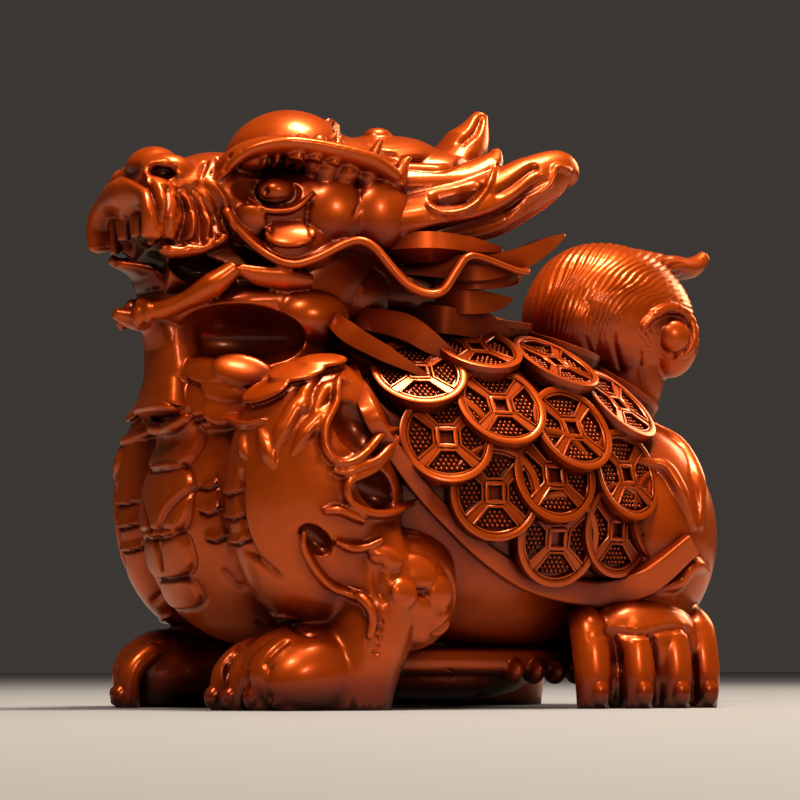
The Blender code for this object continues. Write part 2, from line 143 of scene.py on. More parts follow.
def lock(path, wide, deep, across=(1, 0, 0), both=False, edge=1.0, segments=28, rings=48):
    """A tapering strand along a path; wide is measured along across, and edge 2 gives a ridge"""
    bpy.ops.mesh.primitive_uv_sphere_add(segments=segments, ring_count=rings, radius=1)
    obj = bpy.context.object
    steps = 160
    line = smooth_path(path, steps)
    share = np.linspace(0, 1, steps)
    widths = np.interp(share, np.linspace(0, 1, len(wide)), wide)[:, None]
    depths = np.interp(share, np.linspace(0, 1, len(deep)), deep)[:, None]
    along = np.gradient(line, axis=0)
    along /= np.linalg.norm(along, axis=1)[:, None]
    across = np.array(across, float)
    if across.ndim == 1:
        side = np.tile(across, (steps, 1))
    else:
        known = np.linspace(0, 1, len(across))
        side = np.stack([np.interp(share, known, across[:, axis]) for axis in range(3)], axis=1)
    side -= (side * along).sum(1)[:, None] * along
    side /= np.linalg.norm(side, axis=1)[:, None]
    up = np.cross(side, along)
    ball = get_points(obj.data) * MM
    place = np.arccos(np.clip(ball[:, 2], -1, 1)) / math.pi * (steps - 1)
    k = np.minimum(place.astype(int), steps - 2)
    rest = (place - k)[:, None]
    radius = np.hypot(ball[:, 0], ball[:, 1])
    open_end = (radius > 1e-4)[:, None]
    radius = np.maximum(radius, 1e-4)
    cosine, sine = ball[:, 0] / radius, ball[:, 1] / radius
    reach = (np.sign(cosine) * np.abs(cosine) ** edge)[:, None]
    lift = (np.sign(sine) * np.abs(sine) ** edge)[:, None]

    def at(values):
        return values[k] * (1 - rest) + values[k + 1] * rest

    offset = at(side) * at(widths) * reach + at(up) * at(depths) * lift
    set_points(obj.data, at(line) + offset * open_end)
    shapes.append(obj)
    if both:
        mirror_copy(obj)
    return obj


def ribbon(rim, root, thick, sag, both=True):
    """A thin wall between a free rim and a root line"""
    across, down = 160, 16
    bpy.ops.mesh.primitive_grid_add(x_subdivisions=across, y_subdivisions=down, size=2)
    obj = bpy.context.object
    outer, inner = smooth_path(rim, across + 1), smooth_path(root, across + 1)
    normal = np.cross(np.gradient((outer + inner) / 2, axis=0), outer - inner)
    normal /= np.linalg.norm(normal, axis=1)[:, None]
    grid = get_points(obj.data) * MM
    k = np.round((grid[:, 0] + 1) / 2 * across).astype(int)
    t = ((grid[:, 1] + 1) / 2)[:, None]
    set_points(obj.data, inner[k] * (1 - t) + outer[k] * t + normal[k] * sag * np.sin(math.pi * t))
    apply(obj, "SOLIDIFY", thickness=thick * MM, offset=0)
    shapes.append(obj)
    if both:
        mirror_copy(obj)
    return obj


def apply(obj, kind, **values):
    """Put a modifier on an object with its values and apply it"""
    modifier = obj.modifiers.new(kind.title(), kind)
    for name, value in values.items():
        setattr(modifier, name, value)
    bpy.context.view_layer.objects.active = obj
    bpy.ops.object.modifier_apply(modifier=modifier.name)


def pick(objects):
    """Select these objects alone, the first one active"""
    bpy.ops.object.select_all(action="DESELECT")
    for obj in objects:
        obj.select_set(True)
    bpy.context.view_layer.objects.active = objects[0]


def join_shapes(name):
    """All shapes made so far as one object"""
    pick(shapes)
    bpy.ops.object.join()
    shapes.clear()
    bpy.context.object.name = name
    return bpy.context.object


def soft_block(name, grain, smooth):
    """Fuse all shapes into one closed skin as fine as the grain, and rub it soft"""
    obj = join_shapes(name)
    apply(obj, "REMESH", mode="VOXEL", voxel_size=grain * MM)
    apply(obj, "SMOOTH", factor=0.5, iterations=smooth)
    return obj


def fuse(name, grain, smooth):
    """Fuse all shapes into the finished piece, where the figure stands"""
    obj = soft_block(name, grain, smooth)
    set_points(obj.data, get_points(obj.data) + SHIFT)
    return obj


def hollow(block, at, radii, turn=(0, 0, 0), both=True, axes=None):
    """Scoop an egg-shaped hollow out of a soft block"""
    scoop = blob(at, radii, turn=turn, axes=axes)
    shapes.pop()
    for flip in (1, -1) if both else (1,):
        if flip < 0:
            points = get_points(scoop.data)
            points[:, 0] *= -1
            set_points(scoop.data, points)
            scoop.data.flip_normals()
        apply(block, "BOOLEAN", operation="DIFFERENCE", solver="EXACT", object=scoop)
    bpy.data.objects.remove(scoop)


def thin_out(obj, triangles):
    """Fewer faces where the surface is plain"""
    full = sum(len(polygon.vertices) - 2 for polygon in obj.data.polygons)
    if full > triangles:
        apply(obj, "DECIMATE", ratio=triangles / full, use_collapse_triangulate=True)
    obj.data.shade_smooth()
    print(obj.name, full, "to", len(obj.data.polygons), "triangles")

# %% [markdown]
# Helpers for cutting: a guide line is drawn as the camera sees it, dropped onto the wood, and the wood
# around it is pushed in or raised. The far side gets the same cut, mirrored.

# %% Cutting tools
grain_size = 0.5


class Block:
    """A fused piece as arrays while it is being carved"""

    def __init__(self, obj):
        self.obj = obj
        self.co = get_points(obj.data)
        self.normal = get_points(obj.data, "normal")
        self.push = np.zeros(len(self.co))
        self.tree = BVHTree.FromObject(obj, bpy.context.evaluated_depsgraph_get())

    def drop(self, seen):
        """Points of the photo's frame, in its pixels, dropped onto the wood"""
        spots = []
        for u, v in seen:
            direction = view_line(u, v).normalized()
            hit = self.tree.ray_cast(camera.location, direction)[0]
            if hit is None:
                trial = [self.tree.find_nearest(camera.location + direction * step * 0.002)
                         for step in range(440, 580)]
                hit = min(trial, key=lambda found: found[3])[0]
            spots.append(np.array(hit) / MM)
        return np.array(spots)

    def near(self, path, reach):
        """Corners within reach of a path: their index, distance, share along it and side of it"""
        low, high = path.min(0) - reach, path.max(0) + reach
        index = np.nonzero(((self.co > low) & (self.co < high)).all(1))[0]
        spot = self.co[index]
        gap = np.full(len(index), 1e9)
        share = np.zeros(len(index))
        side = np.zeros(len(index))
        total = len(path) - 1
        for k in range(total):
            a, b = path[k], path[k + 1]
            span = b - a
            t = np.clip(((spot - a) @ span) / max(span @ span, 1e-9), 0, 1)
            off = spot - a - t[:, None] * span
            far = np.linalg.norm(off, axis=1)
            better = far < gap
            gap[better] = far[better]
            share[better] = (k + t[better]) / total
            turned = np.einsum("ij,ij->i", np.cross(span, off[better]), self.normal[index[better]])
            side[better] = np.sign(turned)
        keep = gap < reach
        return index[keep], gap[keep], share[keep], side[keep]

    def both_ways(self, path):
        """The path, and its mirror image about the animal's middle"""
        mirrored = path.copy()
        mirrored[:, 0] = 2 * SHIFT[0] - mirrored[:, 0]
        return path, mirrored

    def line(self, seen, wide, deep, taper=0.15, kind="groove"):
        """Cut a groove or a fold (deep above zero) or raise a ridge (below zero) along a guide line"""
        path = self.drop(seen)
        path = smooth_path(path, 24 if len(path) > 2 else 8)
        for flip, way in zip((1, -1), self.both_ways(path)):
            index, gap, share, side = self.near(way, wide)
            fade = np.clip(np.minimum(share, 1 - share) / taper, 0, 1) ** 0.7
            s = gap / wide
            if kind == "groove":
                form = -(1 - s) ** 1.3
            elif kind == "ridge":
                form = -(1 - s ** 2) ** 1.5
            else:
                form = np.where(side * flip > 0, (1 - s) ** 1.5, -(1 - np.minimum(s * 2.5, 1)) ** 1.2)
            self.push[index] += form * deep * fade

    def dent(self, seen, wide, deep):
        """A round hollow"""
        for way in self.both_ways(self.drop([seen])):
            index = np.nonzero((np.abs(self.co - way[0]) < wide).all(1))[0]
            s = np.linalg.norm(self.co[index] - way[0], axis=1) / wide
            index, s = index[s < 1], s[s < 1]
            self.push[index] -= deep * (1 - s ** 2) ** 1.5

    def plate(self, at, normal, down, wide, tall, height):
        """A raised plate, higher at its lower end, with a crisp edge and a cut around it"""
        power, rise = 3.0, 0.35
        middle = np.array(at, float) + SHIFT
        normal = np.array(normal, float) / np.linalg.norm(normal)
        down = np.array(down, float)
        down -= (down @ normal) * normal
        down /= np.linalg.norm(down)
        right = np.cross(normal, down)
        reach = max(wide, tall) * 1.5
        index = np.nonzero((np.abs(self.co - middle) < reach).all(1))[0]
        off = self.co[index] - middle
        a, b = (off @ right) / wide, (off @ down) / tall
        level = (np.abs(a) ** power + np.abs(b) ** power) ** (1 / power)
        margin = (1 - level) * min(wide, tall)
        up = np.clip(margin / 0.8, 0, 1) ** 0.7 * height * (1 - rise + rise * b)
        cut = -np.exp(-((margin + 0.5) / 0.55) ** 2) * height * 0.5
        self.push[index] += np.where(level < 1, up, 0) + cut

    def finish(self, relax=1):
        """Move the corners out along their normals by what was cut and raised"""
        set_points(self.obj.data, self.co + self.normal * self.push[:, None])
        if relax:
            apply(self.obj, "SMOOTH", factor=0.35, iterations=relax)

# %% [markdown]
# Small forms such as a brow or a fold are laid on the soft masses. So the masses are fused roughly first,
# and the small forms are set where a point of the photo's frame lands on that rough skin.

# %% Laying small forms on the soft masses
rough = []


def spot(u, v, x):
    """The place seen at a pixel of the photo's frame, x millimetres from the animal's middle"""
    direction = np.array(view_line(u, v))
    start = np.array(camera.location) / MM - SHIFT
    return tuple(start + direction * (x - start[0]) / direction[0])


def feel(obj):
    """Remember a soft block's skin, to lay small forms on it"""
    twin = obj.copy()
    twin.data = obj.data.copy()
    bpy.context.collection.objects.link(twin)
    set_points(twin.data, get_points(twin.data) + SHIFT)
    rough[:] = [Block(twin)]
    bpy.data.objects.remove(twin)


def rough_skin():
    """Feel a rough fused copy of the masses so far"""
    pick(shapes)
    bpy.ops.object.duplicate()
    bpy.ops.object.join()
    copy = bpy.context.object
    apply(copy, "REMESH", mode="VOXEL", voxel_size=1.4 * MM)
    apply(copy, "SMOOTH", factor=0.5, iterations=3)
    feel(copy)
    bpy.data.objects.remove(copy)


def lay(seen):
    """Carving places and outward directions where pixels land on the rough skin"""
    spots = rough[0].drop(seen)
    normals = np.array([rough[0].tree.find_nearest(Vector(at * MM))[1] for at in spots])
    return spots - SHIFT, normals


def strand(seen, wide, deep, out=0.0, both=True, **more):
    """A strand of wood laid along a guide line"""
    spots, normals = lay(seen)
    path = spots + normals * out
    across = np.cross(normals, np.gradient(path, axis=0))
    return lock(path, wide, deep, across=across, both=both, **more)


def on_skin(seen, out, spin):
    """A place on the skin, moved outwards, with axes that run across, down and out"""
    spots, normals = lay([seen])
    normal = normals[0]
    right = np.cross(np.array((0, 0, 1)), normal)
    right /= np.linalg.norm(right)
    down = np.cross(normal, right)
    angle = math.radians(spin)
    across = right * math.cos(angle) + down * math.sin(angle)
    return spots[0] + normal * out, (across, np.cross(normal, across), normal)


def knob(seen, radii, out=0.0, spin=0.0, tip=0.0):
    """An egg laid on the skin; radii run across, up and out, and tip lifts its lower edge"""
    at, (across, up, normal) = on_skin(seen, out, spin)
    tip = math.radians(tip)
    axes = (across, up * math.cos(tip) - normal * math.sin(tip), normal * math.cos(tip) + up * math.sin(tip))
    return blob(at, radii, both=True, axes=axes)


def pocket(block, seen, radii, out=0.0, spin=0.0):
    """A hollow scooped into the skin of a soft block"""
    at, axes = on_skin(seen, out, spin)
    hollow(block, at, radii, axes=axes)

# %% [markdown]
# The wood is lacquered in a warm reddish brown, and shade is painted into its colour: the colour follows how
# open each spot is and goes dark brown in every recess as painted shade. Fine grain shows under the lacquer.

# %% Lacquered wood
# painted shade inside the mouth and under the jaw: each place is a middle, a radius of deepest shade and a
# radius where it has faded
PAINTED_SHADE_PLACES = [((0, -80, 127), 9, 14), ((14, -60, 108), 7, 13), ((17, -70, 108), 5, 10)]
# painted shade colours for the most enclosed recesses and for half-open places, then the open wood's own
# colour
PAINTED_DEEP_SHADE = (0.03, 0.0022, 0.0002, 1)
PAINTED_HALF_SHADE = (0.23, 0.017, 0.0005, 1)
OPEN_WOOD_COLOUR = (0.60, 0.088, 0.003, 1)


def lacquered_wood(name):
    """Wood under lacquer: grain, and painted shade that darkens the recesses, the mouth and the throat"""
    material = bpy.data.materials.new(name)
    material.use_nodes = True
    nodes, links = material.node_tree.nodes, material.node_tree.links

    def feed(node, values):
        """Set a node's inputs, or link them where the value is another node's output"""
        for key, value in values.items():
            if isinstance(value, bpy.types.NodeSocket):
                links.new(value, node.inputs[key])
            else:
                node.inputs[key].default_value = value

    def add(kind, values, **options):
        """A new node with its options, and with its inputs set or linked"""
        node = nodes.new("ShaderNode" + kind)
        for key, value in options.items():
            setattr(node, key, value)
        feed(node, values)
        return node

    def ramp(level, low, high):
        """Colours between two stops, each a place and a colour"""
        node = add("ValToRGB", {"Fac": level})
        for stop, (position, colour) in zip(node.color_ramp.elements, (low, high)):
            stop.position, stop.color = position, colour
        return node

    place = add("TexCoord", {}).outputs["Object"]
    stretched = add("Mapping", {"Scale": (60, 14, 60), "Rotation": (0.2, 0.1, 0), "Vector": place})
    fibre = add("TexNoise", {"Scale": 5, "Detail": 5, "Vector": stretched.outputs["Vector"]}).outputs["Fac"]
    cloud = add("TexNoise", {"Scale": 45, "Detail": 3, "Vector": place}).outputs["Fac"]
    level = add("AmbientOcclusion", {"Distance": 0.015}, samples=8).outputs["AO"]
    axes = add("SeparateXYZ", {"Vector": place}).outputs
    fold = add("Math", {0: axes["X"]}, operation="ABSOLUTE").outputs["Value"]
    one_side = add("CombineXYZ", {"X": fold, "Y": axes["Y"], "Z": axes["Z"]}).outputs["Vector"]
    # painted shade: openness is lowered further near the mouth and the throat, on both sides
    for point, near, far in PAINTED_SHADE_PLACES:
        gap = add("VectorMath", {0: one_side, 1: (np.array(point) + SHIFT) * MM}, operation="DISTANCE")
        reach = add("MapRange", {"From Min": near * MM, "From Max": far * MM, "To Min": 0.65,
                                 "Value": gap.outputs["Value"]}, interpolation_type="SMOOTHSTEP")
        darker = add("Math", {0: level, 1: reach.outputs["Result"]}, operation="MULTIPLY")
        level = darker.outputs["Value"]
    # painted shade: the colour runs from deep shade in enclosed recesses through half shade to the open
    # wood's colour
    painted_shade = ramp(level, (0.25, PAINTED_DEEP_SHADE), (0.97, OPEN_WOOD_COLOUR))
    painted_shade.color_ramp.elements.new(0.72).color = PAINTED_HALF_SHADE
    tone = ramp(fibre, (0.3, (0.6, 0.42, 0.3, 1)), (0.68, (1, 1, 1, 1)))
    mix = add("Mix", {"Factor": 0.35, "A": painted_shade.outputs["Color"], "B": tone.outputs["Color"]},
              data_type="RGBA", blend_type="MULTIPLY")
    polish = add("MapRange", {"To Min": 0.24, "To Max": 0.40, "Value": cloud})
    bump = add("Bump", {"Strength": 0.12, "Distance": 0.0003, "Height": fibre})
    feed(nodes["Principled BSDF"], {
        "Base Color": mix.outputs["Result"], "Roughness": polish.outputs["Result"],
        "Normal": bump.outputs["Normal"], "Metallic": 0.5, "Specular Tint": (1, 0.78, 0.5, 1),
        "Coat Weight": 0.3, "Coat Roughness": 0.12, "Coat Tint": (1, 0.72, 0.5, 1)})
    return material


wood = lacquered_wood("lacquered_wood")


def piece(obj):
    """A finished piece of the figure, in place of the plain solid"""
    obj.data.materials.clear()
    obj.data.materials.append(wood)
    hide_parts("dragon_turtle")
    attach(obj, "root")


def stand_level(obj):
    """Cut the soles level where the figure stands"""
    pick([obj])
    bpy.ops.object.mode_set(mode="EDIT")
    bpy.ops.mesh.select_all(action="SELECT")
    bpy.ops.mesh.bisect(plane_co=(0, 0, 0), plane_no=(0, 0, 1), clear_inner=True, use_fill=True,
                        threshold=1e-7)
    bpy.ops.object.mode_set(mode="OBJECT")

# %% [markdown]
# The body is a turtle's trunk with a lion's legs. Its big masses are fused and rubbed soft first, so that
# chest, shoulders and haunches flow into each other. Paws, flames and folds are set on after.

# %% Body: soft masses
DOME_AT = (0, 14, 64)
DOME_RADII = (56, 80, 52)
DOME_TILT = -8
blob((0, 9, 52), (51, 78, 37))
blob(DOME_AT, (55, 79, 51), turn=(DOME_TILT, 0, 0))
CHEST_AT = (0, -50, 57)
CHEST_RADII = (38, 31, 38)
blob(CHEST_AT, CHEST_RADII)
blob((37, -49.5, 62), (22, 26, 39), both=True)
blob((28.5, 62.5, 52), (26, 28, 34), both=True)
blob((0, 72, 60), (25, 25, 34))
blob((46, -24, 34), (11, 15, 17), both=True)
lock([(0, -32, 60), (0, -49, 86), (0, -45, 112), (0, -26, 138)], [34, 30, 25, 26], [30, 29, 26, 24])
lock([(42, -40, 48), (47, -36, 30), (46, -41, 10), (46, -42, -6)], [16, 13, 12, 10], [14, 13, 12, 10],
     both=True)
blob((43, -52, 11), (13, 21, 13), turn=(12, 0, 18), both=True)
lock([(38, 60, 42), (40, 58, 22), (42, 57, 8), (43, 57, -6)], [14, 13, 13, 12], [19, 19, 19, 18],
     both=True)
block = soft_block("soft", 1.0, 9)
FACE = ((0.31, 0.95, 0), (0, 0, 1), (0.95, -0.31, 0))
THROAT = (spot(238, 337, 19), (19.5, 9.6, 14))
feel(block)
hollow(block, *THROAT, axes=FACE)
POCKETS = [((354, 426), (6.5, 8.5, 5), 0.5, 20), ((379, 490), (8.5, 5.6, 8), 0.5, -28),
           ((316, 540), (6, 3.6, 5), 1, -40)]
for seen, radii, out, spin in POCKETS:
    pocket(block, seen, radii, out, spin)
shapes.append(block)
print("soft body", len(block.data.vertices), "corners")

# %% [markdown]
# Toes and claws are set on the paws while the trunk is still soft. The plate under the belly is a plain slab
# with a raised oval, as on a cast or carved figure that has to be cleared out between its legs.

# %% Body: toes, claws, belly plate
blob((40.5, -59, 11.5), (13, 15.5, 12.5), turn=(16, 0, 24), both=True)
for x, y in ((30.5, -74), (36.5, -72), (43, -68.5), (49.5, -63.5)):
    lock([(x, y + 15, 20), (x, y + 6, 17), (x, y - 0.6, 10), (x, y - 0.6, -3)], [2, 3.2, 3.4, 3],
         [2, 3.2, 3.6, 3], both=True)
    blob((x, y - 4.2, 4.2), (2.5, 2.3, 3.2), both=True)
for x, y in ((54, 34.5), (56.5, 48), (56, 61.5), (53, 73.5)):
    lock([(x - 12, y + 2, 29), (x - 4, y, 23), (x, y - 1, 10), (x - 0.5, y - 1, -4)], [4, 5.8, 5.6, 4.5],
         [4, 5.4, 5.2, 3.4], across=(0, 1, 0), both=True)
    blob((x + 4, y - 1, 5), (2.2, 3, 4), both=True)
blob((48, 54, 19), (10.5, 21, 14), both=True)
blob((50, 54, 10), (8, 21, 12), both=True)
lock([(0, -34, 14.5), (0, 52, 14.5)], [33, 33], [4.5, 4.5], edge=0.35)
for k in range(4):
    blob((31, 20 + k * 7.5, 11.5), (5, 2.8, 4), both=True)
blob((0, 2, 9.4), (28, 40, 8))
lock([(0, -76.5, 115), (0, -76.3, 104.2), (0, -76.2, 95.5), (0, -78.1, 85)], [7, 9, 10, 13],
     [6.5, 7, 7, 7], edge=0.7)

# %% [markdown]
# Flames curl over the shoulder, and folds of skin hang from the rump. A carver leaves them standing while the
# ground around them is cut away, so they are laid on as strands. Scales overlap on the neck and the elbow.

# %% Body: flames on the shoulder, folds of the rump
LIPS = [
    [(361, 374), (338, 381), (335, 404), (325, 427), (324, 446), (332, 460), (346, 464), (362, 454),
     (377, 437), (392, 431), (412, 433), (431, 437)],
    [(331, 470), (343, 473), (357, 468), (374, 460), (387, 446), (398, 439), (415, 436)],
    [(398, 442), (386, 455), (371, 470), (350, 480), (345, 489), (349, 503), (365, 512), (386, 513),
     (408, 504), (423, 498), (431, 505)],
    [(322, 512), (336, 510), (350, 515), (364, 522)],
    [(304, 530), (304, 547), (316, 570), (331, 585), (352, 594), (365, 601), (371, 616), (368, 640)],
    [(334, 541), (350, 547), (366, 547), (382, 540)],
]
for seen in LIPS:
    strand(seen, [0.7, 1.3, 1.3, 1.3, 0.7], [0.9, 2.0, 2.0, 2.0, 0.8], out=0.9, rings=90)
WISPS = [
    ([(317, 379), (305, 392), (302, 407), (285, 410)], 2.0),
    ([(338, 404), (322, 416), (305, 434), (292, 454)], 2.2),
    ([(312, 384), (298, 403), (289, 419), (279, 437), (268, 465)], 2.4),
    ([(259, 428), (268, 450), (275, 467)], 2.2),
    ([(245, 432), (243, 446), (247, 458)], 1.8),
    ([(350, 380), (328, 388), (320, 400), (312, 420)], 2.0),
]
for seen, thick in WISPS:
    strand(seen, [0.5, thick, thick, 0.5], [0.5, thick * 0.7, thick * 0.7, 0.5], out=0.3, edge=1.3)
FOLDS = [
    [(38.9, 49.2, 90.5), (34, 68.5, 84.3), (37.4, 75.9, 79.3), (48.5, 74.5, 67.7), (52.6, 72.6, 53.2)],
    [(49.9, 43.2, 74.8), (48, 56.2, 72.9), (49.7, 62.2, 71.5), (52.4, 65.7, 64.4), (53.4, 69.9, 53.1)],
    [(52, 56.7, 35.2), (51.8, 65.1, 37.7), (52.3, 69.8, 42.5), (47.5, 79, 40.9)],
]
for path in FOLDS:
    lock(path, [0.8, 2.2, 2.4, 2.4, 1], [1, 2.6, 2.8, 2.8, 1], across=(0, 0, 1), both=True, rings=90)
ELBOW = [(386, 558, 5.6, 3.4), (417, 571, 6.4, 5.2), (440, 594, 5.0, 5.0), (404, 594, 5.0, 4.2),
         (420, 614, 6.4, 5.0), (440, 622, 4.2, 4.4), (418, 634, 5.0, 3.2)]
for u, v, wide, tall in ELBOW:
    knob((u, v), (wide, tall, 2.0), out=0.0, spin=-15)
NECK_SCALES = [(204, 370, 8.5, 4.2, -10), (243, 370, 9, 5, -14), (322, 361, 8, 6, 20),
               (297, 371, 8.5, 6.2, 12), (224, 389, 7.5, 4.2, -18), (266, 390, 8.5, 6, 8),
               (237, 407, 10.5, 6, 6), (198, 399, 7.5, 4.4, -24)]
for u, v, wide, tall, spin in NECK_SCALES:
    knob((u, v), (wide, tall, 1.5), out=0.1, spin=spin, tip=14)
strand([(143, 396), (145, 414), (156, 431), (171, 427), (188, 418), (206, 411), (226, 418), (246, 425),
        (266, 420)], [0.8, 1.4, 1.6, 1.5, 1.3, 0.7], [0.9, 1.8, 2.0, 1.8, 1.4, 0.8], out=0.5, rings=90)
body = fuse("body", grain_size + 0.05, 1)
stand_level(body)
print("body", len(body.data.vertices), "corners")

# %% [markdown]
# The last cuts are made with small gouges: edges of the chest plates, gaps between the toes and creases of
# the skin. They are pushed into the fused skin, because they are finer than the masses.

# %% Body: cut the lines
cut = Block(body)
for wide, tall, z in ((14, 8.5, 77), (15.5, 10.5, 60.5), (14, 7, 45), (11, 5, 34)):
    lift = z - CHEST_AT[2]
    ahead = CHEST_RADII[1] * math.sqrt(1 - (lift / CHEST_RADII[2]) ** 2)
    normal = (0, -ahead / CHEST_RADII[1] ** 2, lift / CHEST_RADII[2] ** 2)
    cut.plate((0, CHEST_AT[1] - ahead + 1, z), normal, (0, 0, -1), wide, tall, 1.5)
CHEST_NICKS = [(207, 486), (210, 510), (216, 537), (230, 491), (233, 515), (238, 540)]
for u, v in CHEST_NICKS:
    cut.line([(u - 11, v), (u, v + 3), (u + 11, v - 2)], 3, 1.3, kind="fold", taper=0.1)
cut.line([(219, 470), (221, 500), (226, 530), (236, 560)], 1.3, 1.0)
cut.line([(241, 468), (240, 500), (244, 530), (258, 560)], 2.4, 1.8)
cut.line([(141, 478), (146, 508), (156, 538), (166, 570)], 1.8, 1.4)
cut.line([(242, 547), (262, 562), (283, 580)], 2, 1.2)
cut.line([(222, 568), (240, 586), (262, 600)], 2, 1.2)
cut.line([(384, 556), (378, 580), (384, 604)], 3.0, 1.2, taper=0.2)
cut.line([(437, 562), (452, 580), (454, 604), (445, 627), (431, 636)], 1.8, 1.2)
cut.line([(255, 621), (276, 622), (296, 629), (318, 636)], 1.6, 1.8)
cut.line([(252, 616), (280, 616), (310, 628)], 1.4, -0.8, kind="ridge")
for seen in ([(262, 632), (240, 646), (226, 668)], [(276, 636), (256, 650), (244, 668)],
             [(290, 640), (274, 652), (262, 668)]):
    cut.line(seen, 1.5, 0.9)
for start, end in (((228, 664), (226, 705)), ((247, 664), (246, 706)), ((270, 662), (271, 704))):
    cut.line([start, end], 1.8, 1.8)
cut.line([(355, 592), (372, 612), (376, 650)], 1.6, -1.0, kind="ridge")
for k in range(5):
    cut.line([(376 - k, 618 + k * 8), (384 - k, 622 + k * 8)], 1.0, 0.7)
cut.line([(395, 668), (450, 671), (486, 672)], 0.9, 0.8)
cut.line([(395, 675), (450, 678), (486, 678)], 0.9, 0.8)
for u in (617, 655, 692):
    cut.line([(u - 4, 632), (u, 655), (u + 2, 705)], 2.0, 2.4)
cut.line([(588, 640), (610, 632), (640, 634), (676, 628), (700, 636)], 2, 1.3)
cut.finish(1)
thin_out(body, 195000)
piece(body)

# %% [markdown]
# The head looks up and forward with its mouth open. Skull, muzzle, cheeks and jaw are set as eggs, and the
# mouth, nostrils and eye sockets are scooped out, so that they go dark, before teeth, tongue and brow go on.

# %% Head: soft masses
blob((0, -38, 158), (19, 21, 19.5))
blob((0, -24, 146), (27, 29, 25))
blob((0, -62, 148), (18, 20, 15))
blob((0, -74, 146), (17, 19, 14.5))
blob((0, -38, 144), (26.5, 34, 17.5))
blob((15, -34, 144), (12.5, 23, 15), both=True)
HOOD = [(-17.5, -90, 133.5), (-18.6, -90, 141.5), (-13, -88.5, 147.8), (0, -90.5, 148.9),
        (13, -88.5, 147.8), (18.6, -90, 141.5), (17.5, -90, 133.5)]
lock(HOOD, [5, 5.2, 6, 6.2, 6, 5.2, 5], [2.6, 3.4, 4.8, 5.4, 4.8, 3.4, 2.6], across=(0, 1, 0), rings=90)
blob((0, -82.5, 156), (8.5, 8.5, 7.3))
blob((8.4, -82, 154.5), (5.8, 8, 5.6), turn=(0, 0, -12), both=True)
blob((13, -76, 138), (5, 14, 7), both=True)
blob(spot(333, 215, 24), (5.6, 10.4, 11), turn=(0, 0, -14), both=True)
blob(spot(380, 216, 27), (5.6, 9.8, 11), turn=(0, 0, -10), both=True)
blob((22, -46, 133), (7, 12, 7), both=True)
lock([(0, -86, 116.8), (0, -73.8, 115.4), (0, -62, 117), (0, -40, 119)], [8, 16, 22, 26], [5, 6.5, 9, 12])
blob((19, -42, 113), (11, 13, 10), both=True)
lock([(0, -50, 128), (0, -84, 128)], [18, 13], [14, 12])
blob((0, -20, 122), (26, 24, 18))
block = soft_block("soft_head", 0.8, 3)
hollow(block, (0, -93, 127.8), (14.5, 14, 6.8), both=False)
hollow(block, (0, -98, 134.5), (14.2, 14, 8.9), both=False)
hollow(block, (15, -74, 126), (8, 11, 4.6), turn=(-16, 0, 0))
hollow(block, spot(165, 171, 13), (3.2, 4.2, 2.6), turn=(20, 0, 0))
hollow(block, spot(268, 187, 24), (11.5, 6.4, 8), axes=FACE)
hollow(block, *THROAT, axes=FACE)
feel(block)
shapes.append(block)
print("soft head", len(block.data.vertices), "corners")

# %% [markdown]
# A heavy brow shades the eye. Its rim ends in curls and spikes, which are strands that start under the rim.
# The eyeball sits deep, with a lid below it and flat plates on the cheek.

# %% Head: brow and eye
BROW = [(14, -70.3, 151.4), (20, -63.1, 159.9), (24, -52.2, 162.5), (27, -39, 161.4), (29, -26.8, 158.8),
        (30, -17.3, 154.4)]
lock(BROW, [1.5, 3.4, 4.4, 4.4, 4.4, 2.4], [1, 2, 2.4, 2.6, 2.8, 2], across=(1, 0, 0.3), both=True)
lock([(x - 5, y, z + 0.5) for x, y, z in BROW], [2, 4.5, 5.5, 5.5, 5, 3], [1.4, 2.6, 3.2, 3.2, 3, 2],
     across=(1, 0, 0.2), both=True)
LUMPS = [(262, 160, 21.5, 8, 1.4), (275, 157, 22, 10, 1.4), (287, 155, 22.5, 12, 1.5),
         (299, 154, 23.5, 16, 1.8), (312, 156, 24.5, 22, 2.6), (326, 160, 26, 29, 3.4),
         (346, 166, 27.5, 25, 3.6), (366, 173, 28, 18, 3.2), (383, 180, 28.5, 13, 3.0)]
for u, v, x, tall, wide in LUMPS:
    top, low = np.array(spot(u + 4, v - 7, x)), np.array(spot(u - 3, v + tall, x - 3.6))
    lock([top, (top + low) / 2 + (1.2, -0.4, 0), low], [wide * 0.8, wide, wide * 0.6], [1.6, 2.2, 1.2],
         across=(0.3, 0.95, 0), both=True, edge=1.5)
SPIKES = [(374, 156, 27, 5.5), (402, 168, 29, 3.6), (318, 142, 26, 1.2), (300, 141, 25, 1.0),
          (336, 146, 27, 1.0)]
for u, v, x, tall in SPIKES:
    at = np.array(spot(u, v, x))
    lock([at - (0, 1.5, 6), at, at + (0.5, 2.5, tall)], [2.8, 2.3, 0.7], [2.8, 2.3, 0.7], both=True, edge=1.3)
blob(spot(251, 160, 16), (5, 6, 3.4), both=True)
eye = np.array(spot(276, 192, 19))
blob(eye, (5.0, 5.8, 4.1), both=True)
strand([(246, 200), (256, 207), (268, 211), (288, 211), (301, 205), (314, 193)],
       [0.5, 0.8, 0.9, 0.9, 0.8, 0.5], [0.8, 1.2, 1.3, 1.3, 1.2, 0.6], out=0.8)
knob((246, 224), (6.6, 5.4, 2.2), out=-0.2, spin=35)
knob((290, 232), (7.5, 5.6, 1.5), out=-0.7, spin=5)
print("brow and eye set")

# %% [markdown]
# A wavy frill runs from the corner of the mouth to the neck. It is a thin wall between two curves, with a
# rolled rim, because leaf-like forms keep a rounded edge when they are polished.

